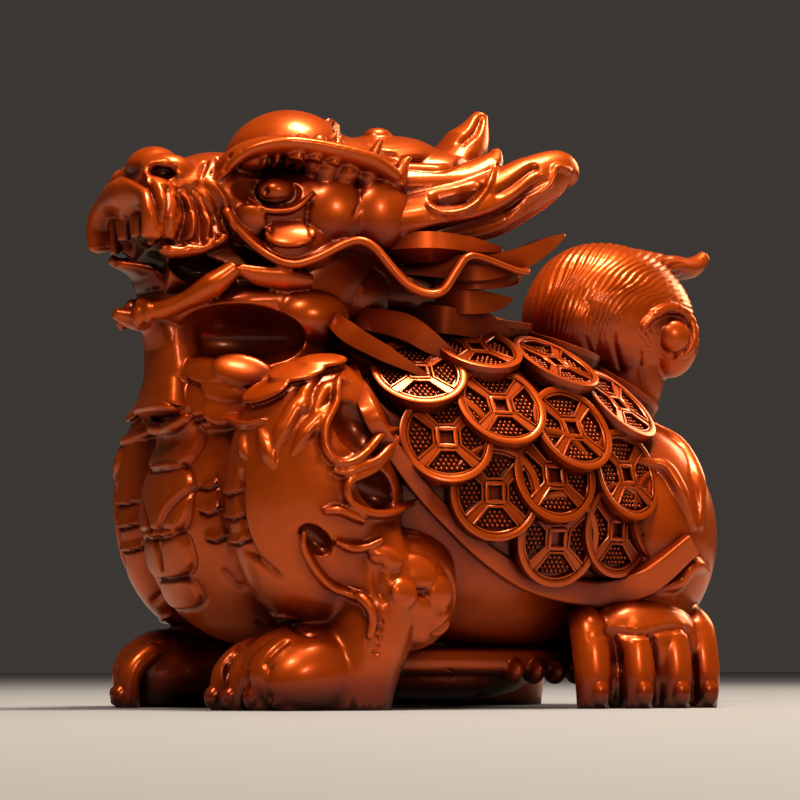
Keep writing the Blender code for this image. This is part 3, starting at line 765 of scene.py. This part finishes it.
# %% Head: frill
FRILL_RIM = [(17, -68.9, 144.2), (20, -64.6, 137.2), (24, -58.9, 131), (28, -52.6, 127.8), (31, -46.1, 129.4),
             (34, -37.9, 133.9), (36, -33.7, 134.8), (38, -29.9, 132.5), (40, -25.8, 127), (42, -21.3, 121.9),
             (44, -16.4, 119.7), (45, -11.7, 120.7), (45, -7.3, 126.5), (45, -3.9, 130.7), (45, 0.8, 131.3),
             (44, 14.5, 128.1), (43, 19.2, 128.2)]
FRILL_ROOT = [(12, -65.4, 139.2), (14, -59.9, 134.4), (16, -52.7, 129.7), (18, -46.6, 128.1),
              (20, -39.1, 128.9), (20, -30.1, 130.6), (20, -24.7, 129.2), (20, -19.7, 126.5),
              (21, -14.8, 122.5), (22, -9.6, 119.5), (23, -4.1, 118.2), (23, 1.4, 119.4),
              (23, 5.9, 121.7), (24, 8.8, 124.2), (25, 13, 124.9), (28, 19.9, 125.6), (32, 22.7, 126.5)]
ribbon(FRILL_RIM, FRILL_ROOT, 1.8, -2.5)
lock(FRILL_RIM, [1.2, 1.3, 1.3, 1.3, 1.2, 0.8], [1.2, 1.4, 1.4, 1.4, 1.3, 0.8], across=(0, 0, 1),
     both=True, rings=140)

# %% [markdown]
# Teeth, tongue and lips fill the scooped mouth. They are separate small strands, so that dark gaps stay
# between them.

# %% Head: nose, lips, teeth and tongue
strand([(148, 184), (146, 174), (152, 165), (164, 162), (175, 167), (180, 177)],
       [0.8, 1.1, 1.2, 1.3, 1.3, 0.8], [0.8, 1.2, 1.2, 1.3, 1.3, 0.8], out=0.4)
lock([(0, -83, 143.5), (0, -89, 144)], [13, 13], [2.5, 2.5], edge=0.5)
for x, y, wide, tall in ((4.4, -89.5, 3.5, 7.4), (12.6, -88.5, 2.3, 10.5)):
    path = [(x, y + 1, 144.5), (x, y, 141.5), (x, y - 0.3, 143 - tall)]
    lock(path, [wide, wide, wide * 0.7], [2, 2.2, 1.3], both=True, edge=0.6)
lock([spot(160, 246, 17), spot(172, 252, 16.5), spot(203, 248, 17.5), spot(227, 236, 18)],
     [1.6, 2.4, 2.4, 1.4], [1.4, 1.8, 1.8, 1.2], both=True)
jaw_lip = [(2, -88.2, 117.1), (9, -85.2, 114.6), (14, -79.1, 117.3), (19, -73, 121.5), (21.5, -66.2, 127.1)]
lock(jaw_lip, [2, 2.4, 2.6, 3.6, 2.6], [2.4, 2.8, 2.6, 3.8, 2.4], both=True)
lock([(21.5, -66.2, 126.5), (23, -60, 124.5), (25, -52, 124), (26, -43.9, 123.6)], [1.6, 3, 3.4, 2],
     [1.6, 1.8, 2, 1.6], across=(0.4, 0, 1), both=True)
for u, v, x in ((149, 312, 8), (139, 316, 5.5)):
    blob(np.array(spot(u, v, x)), (2.1, 2.0, 3.2), both=True)
lock([(0, -60, 123), (0, -80, 122), (0, -86, 126.4), (0, -94.5, 128.4)], [12, 10, 8, 1.5],
     [5, 4, 2.4, 1], edge=0.8)
lock([(0, -80.2, 112.8), (0, -88.2, 112.9), (0, -95.2, 114)], [7, 5, 1.4], [4, 3.4, 1.4])
lock([(0, -79.6, 114), (0, -76.3, 104.2), (0, -76.2, 95.5), (0, -78.1, 86.1)], [7, 9, 10, 13],
     [6.5, 7, 7, 7], edge=0.7)
head = fuse("head", grain_size - 0.02, 1)
print("head", len(head.data.vertices), "corners")

# %% [markdown]
# The muzzle is pleated towards the nose. Each pleat is a gouge cut with a raised line beside it.

# %% Head: cut the lines
cut = Block(head)
MUZZLE_FOLDS = [
    [(167, 184), (172, 199), (170, 218), (163, 245)],
    [(175, 186), (184, 207), (184, 227), (178, 246)],
    [(184, 184), (198, 204), (202, 227), (201, 246)],
    [(192, 183), (206, 201), (215, 221), (213, 241)],
    [(199, 179), (215, 199), (222, 218), (226, 235)],
]
for fold in MUZZLE_FOLDS:
    cut.line(fold, 2.6, 2.3, taper=0.12)
    cut.line([(u + 7, v + 2) for u, v in fold], 2.4, -1.0, taper=0.2, kind="ridge")
cut.line([(175, 196), (178, 208), (176, 222)], 1.3, 1.0)
cut.line([(188, 190), (193, 202), (194, 214)], 1.3, 1.0)
for u in (200, 212, 224, 237):
    cut.line([(u, 180 - (u - 200) * 0.3), (u + 7, 160 - (u - 200) * 0.3)], 1.3, 1.1)
cut.line([(360, 190), (356, 212), (347, 239)], 1.2, 1.0, taper=0.05)
cut.line([(310, 200), (307, 220), (312, 240)], 1.4, 1.2, taper=0.05)
cut.line([(328, 117), (336, 126), (336, 142)], 2.4, 1.8, kind="fold")
cut.line([(268, 214), (270, 230), (274, 246)], 1.2, 1.2, taper=0.05)
cut.line([(352, 126), (366, 137), (392, 146), (420, 150)], 2.6, 1.2)
cut.dent((265, 191), 1.5, 1.5)
cut.line([(124, 173), (138, 178), (149, 186), (155, 199), (160, 213), (163, 230)], 2.6, 2.4, taper=0.1)
cut.line([(177, 335), (182, 366), (188, 389)], 1.4, 1.4)
cut.finish(1)
thin_out(head, 195000)
piece(head)

# %% [markdown]
# The mane streams back in thick locks that end in flame points, and flat blades of hair lie over the front
# of the shell. Each lock is a strand with a ridge along it; hollows are then cut into their sides.

# %% Mane: locks
blob((0, -6, 126), (30, 26, 28))
lock([(0, -28, 156), (0, -3, 163.5), (0, 13, 161.5), (0, 23.5, 171.5), (0, 29.3, 182.6)],
     [20, 17, 13, 8, 2], [13, 9, 8, 7.4, 1.8], edge=1.15)
blob((3, -9.4, 170.8), (4, 5, 3.4))
lock([(16, -25, 152), (22, -2.4, 154.1), (25, 7.9, 156.3), (26, 16, 161.6), (25, 19.4, 167.1)],
     [10, 9, 7.5, 5, 1.2], [9, 7.5, 6, 4, 1], both=True, edge=1.2)
lock([(22, -18, 141), (29, -6.6, 142.9), (32, 10.5, 147.9), (34, 25, 155.5), (34, 35.6, 160.5),
      (33, 40.9, 157.7)], [9, 9, 8, 7, 5.4, 2.4], [9, 9.5, 9.5, 8.6, 6.2, 2.8], both=True, edge=1.1)
blob((10, 8, 158), (11, 17, 9), both=True)
blob((20, -8, 140), (12, 16, 16), both=True)
blob((18, -6, 122), (14, 16, 12), both=True)
mane = fuse("mane", grain_size + 0.02, 1)
print("mane", len(mane.data.vertices), "corners")

# %% [markdown]
# The locks are hollowed along their sides with a round gouge, which leaves a ridge down the middle of each.

# %% Mane: hollows and grooves
cut = Block(mane)
cut.line([(428, 198), (445, 197), (465, 195), (484, 184)], 4.6, 4.2, taper=0.25)
cut.line([(426, 203), (440, 213), (466, 209), (488, 186), (498, 160)], 1.4, -1.4, kind="ridge")
cut.line([(404, 240), (448, 233), (490, 222), (520, 205), (545, 176)], 4.0, 3.6, taper=0.2)
cut.line([(508, 222), (530, 200), (550, 184), (556, 168), (572, 172)], 1.6, -1.2, kind="ridge")
cut.line([(492, 196), (512, 184), (530, 170), (540, 166)], 2.4, 1.6)
cut.line([(458, 146), (474, 132), (482, 114)], 2.2, 1.5)
cut.line([(400, 165), (425, 168), (450, 166), (478, 156)], 2.4, 1.4)
cut.line([(356, 150), (380, 152), (400, 158)], 2.0, 1.0)
cut.finish(1)
thin_out(mane, 190000)
piece(mane)

# %% [markdown]
# The lower hair is cut as flat blades with sharp ridges. They stay crisp because they are not fused: each is
# a four-sided strand that tapers to a point and stands in the soft mass behind it.

# %% Mane: blades
BLADES = [
    ([(24, -22, 134), (36, -10.7, 134.5), (38, 1.7, 134), (37, 13.7, 134.4)],
     [4.6, 4.6, 4.2, 1.4], [2.4, 2.4, 2.2, 0.8], (0.25, 0, 1)),
    ([(24, -14, 130), (38, 1.7, 128.3), (38, 17.2, 132.2), (37, 28.3, 137.4), (36, 36.2, 141.2)],
     [5, 5.4, 4.8, 3.2, 0.6], [5, 5.2, 4.4, 3.0, 0.5], (1, 0, 1)),
    ([(22, -10, 124), (36, 2, 125.4), (37, 12, 126), (36, 20, 127.6)],
     [4.6, 4.6, 3.4, 0.5], [4.4, 4.4, 3.2, 0.5], (1, 0, 1)),
    ([(20, -10, 118), (34, 0.7, 118.6), (34, 11, 119.4), (34, 19, 121)],
     [5.4, 5.4, 4, 0.5], [5, 5, 3.8, 0.5], (1, 0, 1)),
    ([(18, -14, 112), (32, -5, 113.2), (30, 9.9, 111.2), (27, 24.5, 108.6)],
     [6, 6, 4.6, 0.5], [5.6, 5.6, 4.4, 0.5], (1, 0, 1)),
    ([(26, -38, 113), (34, -36.2, 107.2), (40, -28.1, 101.5), (46, -14, 94.2)],
     [3, 4.6, 3.8, 0.4], [3, 3.8, 3.0, 0.4], (1, 0, 1)),
    ([(20, -26, 113), (34, -18, 109.5), (38, -11.9, 105.4), (42, -0.6, 99.6)],
     [5, 6, 4.8, 0.4], [4.4, 5, 4.0, 0.4], (1, 0, 1)),
    ([(12, -18, 117), (28, 4.3, 113.8), (28, 14.6, 111), (26, 31.8, 105.6)],
     [6, 6.6, 5.2, 0.5], [6, 6, 4.8, 0.5], (1, 0, 1)),
]
for path, wide, deep, across in BLADES:
    lock(path, wide, deep, across=across, both=True, segments=4, rings=40)
blades = join_shapes("blades")
set_points(blades.data, get_points(blades.data) + SHIFT)
pick([blades])
bpy.ops.object.shade_smooth_by_angle(angle=math.radians(30))
print("blades", len(blades.data.polygons), "faces")
piece(blades)

# %% [markdown]
# The shell is a dome framed by a flat band like a ruler's edge. The band widens to a brim at the flank. A
# ridge runs down the middle of the back, and folds of skin meet the shell behind.

# %% Shell: dome, band and ridge
BAND = [(30, -33.3, 98.6), (53.6, -42, 84.6), (52.6, -33, 73.1), (49.3, -21.9, 62.8), (50.6, -13.4, 54.4),
        (50.4, -1.9, 45.5), (48.6, 12, 38.6), (46.2, 27.2, 35.3), (44.5, 42.3, 34.6), (51.4, 53.6, 39),
        (53.6, 69, 50.1)]
blob(DOME_AT, DOME_RADII, turn=(DOME_TILT, 0, 0), segments=96, rings=64)
lock([(0, 2, 117), (0, 20, 118), (0, 40, 115), (0, 60, 107), (0, 76, 95), (0, 86, 82)],
     [3, 4, 4, 4, 4, 3], [2, 3, 3, 3, 3, 2])
shell = fuse("shell", grain_size + 0.1, 1)
thin_out(shell, 120000)
piece(shell)

# %% [markdown]
# The band lies flat on the dome at the neck and turns its face up where it becomes the brim.

# %% Shell: band
def band(path, wide, thick, lean):
    """A flat strip along the shell's edge; lean turns its face upwards"""
    path = np.array(path, float)
    outward = (path - np.array(DOME_AT)) / np.array(DOME_RADII, float) ** 2
    outward /= np.linalg.norm(outward, axis=1)[:, None]
    facing = outward + np.array(lean, float)[:, None] * np.array((0, 0, 1))
    facing /= np.linalg.norm(facing, axis=1)[:, None]
    across = np.cross(facing, np.gradient(path, axis=0))
    return lock(path, wide, thick, across=across, both=True, edge=0.22, segments=32, rings=120)


band(BAND, [1.4, 2.4, 2.5, 2.5, 2.6, 2.8, 3.2, 3.8, 4.4, 4.4, 3.4],
     [2.4, 2.6, 2.6, 2.6, 2.8, 3, 3.4, 3.8, 4.2, 4.2, 3.2],
     [0, 0, 0, 0.1, 0.2, 0.3, 0.4, 0.5, 0.5, 0.45, 0.4])
rim = join_shapes("rim")
set_points(rim.data, get_points(rim.data) + SHIFT)
pick([rim])
bpy.ops.object.shade_smooth_by_angle(angle=math.radians(35))
piece(rim)

# %% [markdown]
# Every coin is the same: a ring, a square hole in a frame, and four panels full of tiny grains between
# crossing bars. One coin is modelled and set on the dome over thirty times, lapping like roof tiles.

# %% One coin
COIN = 14.0
RING = 1.9
FIELD = 0.2
LINE = 0.8
HOLE = 2.0
FRAME = 3.3
coin_parts = []


def closed_band(points, wide, low, high):
    """A flat-topped band around a closed outline, as a mesh of its own"""
    points = np.array(points, float)
    ahead = np.roll(points, -1, axis=0) - np.roll(points, 1, axis=0)
    ahead /= np.linalg.norm(ahead, axis=1)[:, None]
    outward = np.stack([ahead[:, 1], -ahead[:, 0]], axis=1)
    section = [(-wide / 2, low), (-wide / 2, high - 0.18), (-wide * 0.2, high), (wide * 0.2, high),
               (wide / 2, high - 0.18), (wide / 2, low)]
    corners = [(*(point + out * across), up) for point, out in zip(points, outward) for across, up in section]
    count, size = len(points), len(section)
    faces = []
    for k in range(count):
        for j in range(size):
            a, b = k * size + j, k * size + (j + 1) % size
            c, d = ((k + 1) % count) * size + (j + 1) % size, ((k + 1) % count) * size + j
            faces.append((a, b, c, d))
    coin_parts.append((np.array(corners), faces))


def panel_outline(quarter):
    """The fan between two crossing bars: a chord by the hole and an arc by the ring"""
    gap, reach, near = 1.15, COIN - RING - 0.5, FRAME + 0.7
    swing = math.asin(gap * math.sqrt(2) / reach)
    angles = np.linspace(-math.pi / 4 + swing, math.pi / 4 - swing, 9)
    points = [(reach * math.cos(angle), reach * math.sin(angle)) for angle in angles]
    points += [(near, near - gap * 1.4), (near, -near + gap * 1.4)]
    cosine, sine = math.cos(quarter * math.pi / 2), math.sin(quarter * math.pi / 2)
    return [(x * cosine - y * sine, x * sine + y * cosine) for x, y in points]


circle = [(math.cos(angle), math.sin(angle)) for angle in np.linspace(0, 2 * math.pi, 49)[:-1]]
closed_band([(x * (COIN - RING / 2), y * (COIN - RING / 2)) for x, y in circle], RING, -2.2, FIELD + 2.0)
square = [(1, -1), (1, -0.3), (1, 0.3), (1, 1), (0.3, 1), (-0.3, 1), (-1, 1), (-1, 0.3), (-1, -0.3),
          (-1, -1), (-0.3, -1), (0.3, -1)]
middle = (HOLE + FRAME) / 2
closed_band([(x * middle, y * middle) for x, y in square], FRAME - HOLE, -0.6, FIELD + 1.75)
for quarter in range(4):
    closed_band(panel_outline(quarter), LINE, 0, FIELD + 1.75)
    angle = math.pi / 4 + quarter * math.pi / 2
    near, far = FRAME * 1.2, COIN - RING * 0.8
    along = np.array((math.cos(angle), math.sin(angle)))
    across = np.array((-along[1], along[0]))
    base = [along * near + across, along * near - across, along * far - across, along * far + across]
    corners = [(*point, up) for up in (0, FIELD + 1.4) for point in base]
    faces = [(3, 2, 1, 0), (4, 5, 6, 7), (0, 1, 5, 4), (1, 2, 6, 5), (2, 3, 7, 6), (3, 0, 4, 7)]
    coin_parts.append((np.array(corners), [face[::-1] for face in faces]))
print("coin strips", len(coin_parts))

# %% [markdown]
# The panels are matted with a small ring punch. The grains are the raised dots that this leaves, in rows that
# stay clear of the bars and the hole.

# %% Grains of one coin
GRAIN_STEP = 1.55
grain_spots = []
for row in range(-12, 13):
    for column in range(-12, 13):
        x = (column + 0.5 * (row % 2)) * GRAIN_STEP
        y = row * GRAIN_STEP * 0.866
        if max(abs(x), abs(y)) < FRAME + 1.2 or math.hypot(x, y) > COIN - RING - 1.4:
            continue
        if abs(abs(x) - abs(y)) / math.sqrt(2) < 2.1:
            continue
        grain_spots.append((x, y))
print("grains on a coin", len(grain_spots))

# %% [markdown]
# Coins on the near side are placed where they are seen, and a few more follow the ridge on top. Each one is
# tipped so that its lower edge lies over the next. The far side is the same, mirrored.

# %% Coins on the dome
NEAR_COINS = [(417, 379), (473, 355), (497, 411), (444, 441), (551, 370), (566, 433), (491, 493), (549, 477),
              (612, 410), (619, 477), (552, 537), (610, 529), (648, 517)]
TOP_COINS = [(14.5, 14), (14.5, 39), (15, 62)]
LAP = math.radians(7)


def coin_frame(normal):
    """Axes of a coin: square upright, lower edge lifted"""
    down = np.array((0.0, 0.0, -1.0))
    down -= (down @ normal) * normal
    if np.linalg.norm(down) < 0.35:
        down = np.array((0.6, 0.6, 0)) - (np.array((0.6, 0.6, 0)) @ normal) * normal
    down /= np.linalg.norm(down)
    side = np.cross(down, normal)
    spin = np.array(Matrix.Rotation(LAP, 3, Vector(side)))
    normal, down = spin @ normal, spin @ down
    return np.stack([side, -down, normal], axis=1)


DOME_TURN = np.array(Euler((math.radians(DOME_TILT), 0, 0)).to_matrix())


def on_dome(share):
    """Place and outward direction for a point given in shares of the dome's radii"""
    radii = np.array(DOME_RADII, float)
    normal = DOME_TURN @ (share / radii)
    return DOME_TURN @ (share * radii) + np.array(DOME_AT) + SHIFT, normal / np.linalg.norm(normal)


def dome_spot(x, y):
    """A point on top of the dome"""
    share = np.array((x, y - DOME_AT[1], 0.0)) / DOME_RADII
    share[2] = math.sqrt(max(1 - share[0] ** 2 - share[1] ** 2, 0))
    return on_dome(share)


def shell_point(seen):
    """Where the line of sight through a pixel meets the smooth dome"""
    start = DOME_TURN.T @ (np.array(camera.location) / MM - SHIFT - np.array(DOME_AT)) / DOME_RADII
    ray = DOME_TURN.T @ np.array(view_line(*seen)) / DOME_RADII
    a, b, c = ray @ ray, start @ ray, start @ start - 1
    reach = (-b - math.sqrt(max(b * b - a * c, 0))) / a
    return on_dome(start + ray * reach)


places = [shell_point(seen) for seen in NEAR_COINS] + [dome_spot(x, y) for x, y in TOP_COINS]
bpy.ops.mesh.primitive_cylinder_add(vertices=48, radius=COIN, depth=2.6)
disc = bpy.context.object
disc_corners = np.array([tuple(vertex.co) for vertex in disc.data.vertices]) + (0, 0, FIELD - 1.3)
disc_faces = [tuple(polygon.vertices) for polygon in disc.data.polygons]
bpy.data.objects.remove(disc)
bpy.ops.mesh.primitive_ico_sphere_add(subdivisions=1, radius=0.74)
ball = bpy.context.object
ball_corners = np.array([tuple(vertex.co) for vertex in ball.data.vertices]) * (1, 1, 0.9)
ball_faces = [tuple(polygon.vertices) for polygon in ball.data.polygons]
bpy.data.objects.remove(ball)
one_coin = coin_parts + [(disc_corners, disc_faces)]
one_grains = [(ball_corners + (x, y, FIELD + 0.35), ball_faces) for x, y in grain_spots]


def scatter(name, parts):
    """The same parts set at every coin's place, on both sides of the shell"""
    corners, faces, total = [], [], 0
    for point, normal in places:
        axes = coin_frame(normal)
        for flip in (1, -1):
            for rows, polygons in parts:
                placed = rows @ axes.T + point + normal * 1.4
                if flip < 0:
                    placed[:, 0] = 2 * SHIFT[0] - placed[:, 0]
                corners.append(placed)
                faces += [tuple(total + index for index in polygon[::flip]) for polygon in polygons]
                total += len(placed)
    mesh = bpy.data.meshes.new(name)
    mesh.from_pydata((np.vstack(corners) * MM).tolist(), [], faces)
    obj = bpy.data.objects.new(name, mesh)
    bpy.context.scene.collection.objects.link(obj)
    print(name, len(faces), "faces")
    return obj


coins = scatter("coins", one_coin)
coins.data.shade_smooth()
coins.data.set_sharp_from_angle(angle=math.radians(35))
grains = scatter("coin_grains", one_grains)
grains.data.shade_smooth()
piece(coins)
piece(grains)

# %% [markdown]
# The tail rises from the rump and rolls into a combed ball, with a snail curl on each side and a free tip.

# %% Tail: masses
lock([(0, 66, 76), (0, 79.5, 98), (0, 80, 118)], [16, 13, 16], [16, 12, 16])
blob((0, 76.6, 121.5), (19, 29, 23), turn=(-12, 0, 0))
blob((0, 60.3, 119.4), (15, 14, 19))
blob((10, 90.9, 114.4), (9, 10, 12), both=True)
lock([(0, 83.5, 137), (0, 96.9, 138.4), (0, 106.5, 139), (0, 112.7, 143.2)], [10, 7, 4.5, 2], [7, 4, 3.4, 2])
rough_skin()
strand([(640, 330), (656, 313), (674, 309), (688, 320), (692, 337), (686, 352), (674, 357)],
       [0.8, 1.6, 1.8, 1.8, 1.7, 1.4, 0.8],
       [0.8, 1.6, 1.8, 1.8, 1.7, 1.4, 0.8], out=0.5)
knob((674, 336), (5, 5, 2.6), out=0.2)
tail = fuse("tail", grain_size, 1)

# %% [markdown]
# The hair is combed in rings around the curl, with a V-shaped tool that leaves round ridges.

# %% Tail: comb the hair
cut = Block(tail)
CURL_AT = (674, 335)
COMB_STEP = 5.2
seen_co = cut.co.copy()
seen_co[:, 0] = SHIFT[0] + np.abs(seen_co[:, 0] - SHIFT[0])
matrix = np.array(camera.matrix_world.inverted())
local = (seen_co * MM) @ matrix[:3, :3].T + matrix[:3, 3]
u = PICTURE / 2 - FOCAL_PIXELS * local[:, 0] / local[:, 2]
v = PICTURE / 2 + FOCAL_PIXELS * local[:, 1] / local[:, 2]
off_u, off_v = u - CURL_AT[0], v - CURL_AT[1]
away = np.hypot(off_u, off_v * 1.05)
turn = np.arctan2(off_v, off_u)
comb = away + 5 * np.sin(turn * 3 + away * 0.03) + 1.2 * np.sin(turn * 11 + away * 0.2)
wave = np.cos(comb / COMB_STEP * 2 * math.pi)
wave = np.where(wave > 0, wave ** 0.8, -np.abs(wave) ** 1.6)
ends = np.clip((372 - v) / 30, 0, 1) * np.clip((away - 20) / 8, 0, 1)
lower = np.clip((345 - v) / 22, 0, 1)
tip = np.clip((686 - u) / 8, 0, 1)
ends *= np.where(v < 292, tip, 1)
ends *= np.where(u < 640, lower, 1)
cut.push += (0.16 + 0.09 * np.sin(away / 9)) * wave * ends
cut.line([(612, 330), (616, 352), (622, 375)], 1.6, 0.6)
cut.line([(585, 335), (590, 352), (596, 368)], 1.6, 0.6)
cut.line([(640, 345), (640, 366), (644, 388)], 1.6, 0.7)
cut.finish(0)
thin_out(tail, 180000)
piece(tail)

# %% [markdown]
# A plain pale floor and soft studio light.

# %% Floor and light
bpy.ops.mesh.primitive_plane_add(size=6)
floor = bpy.context.object
floor.name = "floor"
pale = bpy.data.materials.new("pale_floor")
pale.use_nodes = True
paint = pale.node_tree.nodes["Principled BSDF"]
paint.inputs["Base Color"].default_value = (0.32, 0.35, 0.44, 1)
paint.inputs["Roughness"].default_value = 0.7
floor.data.materials.append(pale)


def soft_light(name, place, size, power):
    """A square soft box with warm light that faces the figure"""
    lamp = bpy.data.lights.new(name, "AREA")
    lamp.size = size
    lamp.energy = power
    lamp.color = (1, 0.8, 0.54)
    obj = bpy.data.objects.new(name, lamp)
    bpy.context.scene.collection.objects.link(obj)
    obj.location = place
    obj.rotation_euler = (Vector((0, 0, 0.08)) - Vector(place)).to_track_quat("-Z", "Y").to_euler()
    return obj


soft_light("key", (0.55, -0.45, 1.0), 0.2, 6)
soft_light("top", (0.15, 0.15, 1.1), 0.3, 20)
soft_light("side", (0.95, -0.05, 0.45), 0.12, 1.6)
soft_light("back", (-0.3, 0.9, 0.5), 0.4, 4)
world = bpy.data.worlds.new("studio")
bpy.context.scene.world = world
world.use_nodes = True
sky = world.node_tree.nodes["Background"]
sky.inputs["Color"].default_value = (0.60, 0.52, 0.46, 1)
sky.inputs["Strength"].default_value = 0.075
bpy.context.scene.view_settings.view_transform = "Standard"
